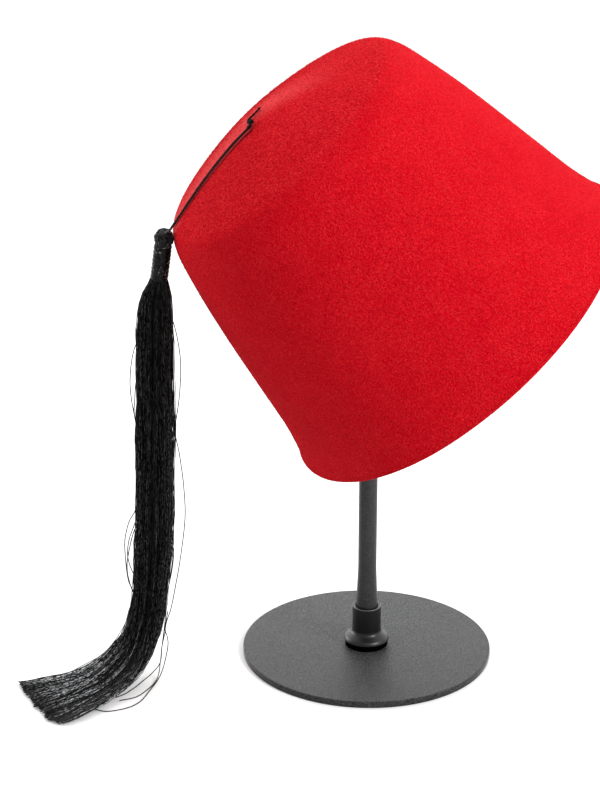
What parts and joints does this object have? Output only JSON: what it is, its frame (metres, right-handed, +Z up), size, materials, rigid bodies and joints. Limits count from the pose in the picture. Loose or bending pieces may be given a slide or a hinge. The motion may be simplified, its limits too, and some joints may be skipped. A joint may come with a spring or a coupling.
{
  "type": "fez hat on display stand",
  "caption": "Red felt fez with a long black tassel, hung tilted on a small round-footed black metal display stand.",
  "frame": {"origin": "centre of the stand's underside, on the surface that it stands on", "axes": "+Z up along the post, +X to the right and +Y away from the side on which the tassel hangs to the left"},
  "size_m": [0.2857, 0.188, 0.3073],
  "materials": {
    "red_felt": "matt wool felt with a fine nap",
    "black_thread": "black thread with a soft sheen",
    "black_metal": "fine-grained powder coat, satin"
  },
  "bodies": {
    "root": {"felt_crown": "red_felt", "crown_loop": "black_thread", "cord_strand_near": "black_thread", "cord_strand_far": "black_thread", "tassel": "black_thread", "tassel_binding": "black_thread", "stand_foot_plate": "black_metal", "stand_collar": "black_metal", "stand_post": "black_metal", "stand_head": "black_metal"}
  },
  "joints": []
}
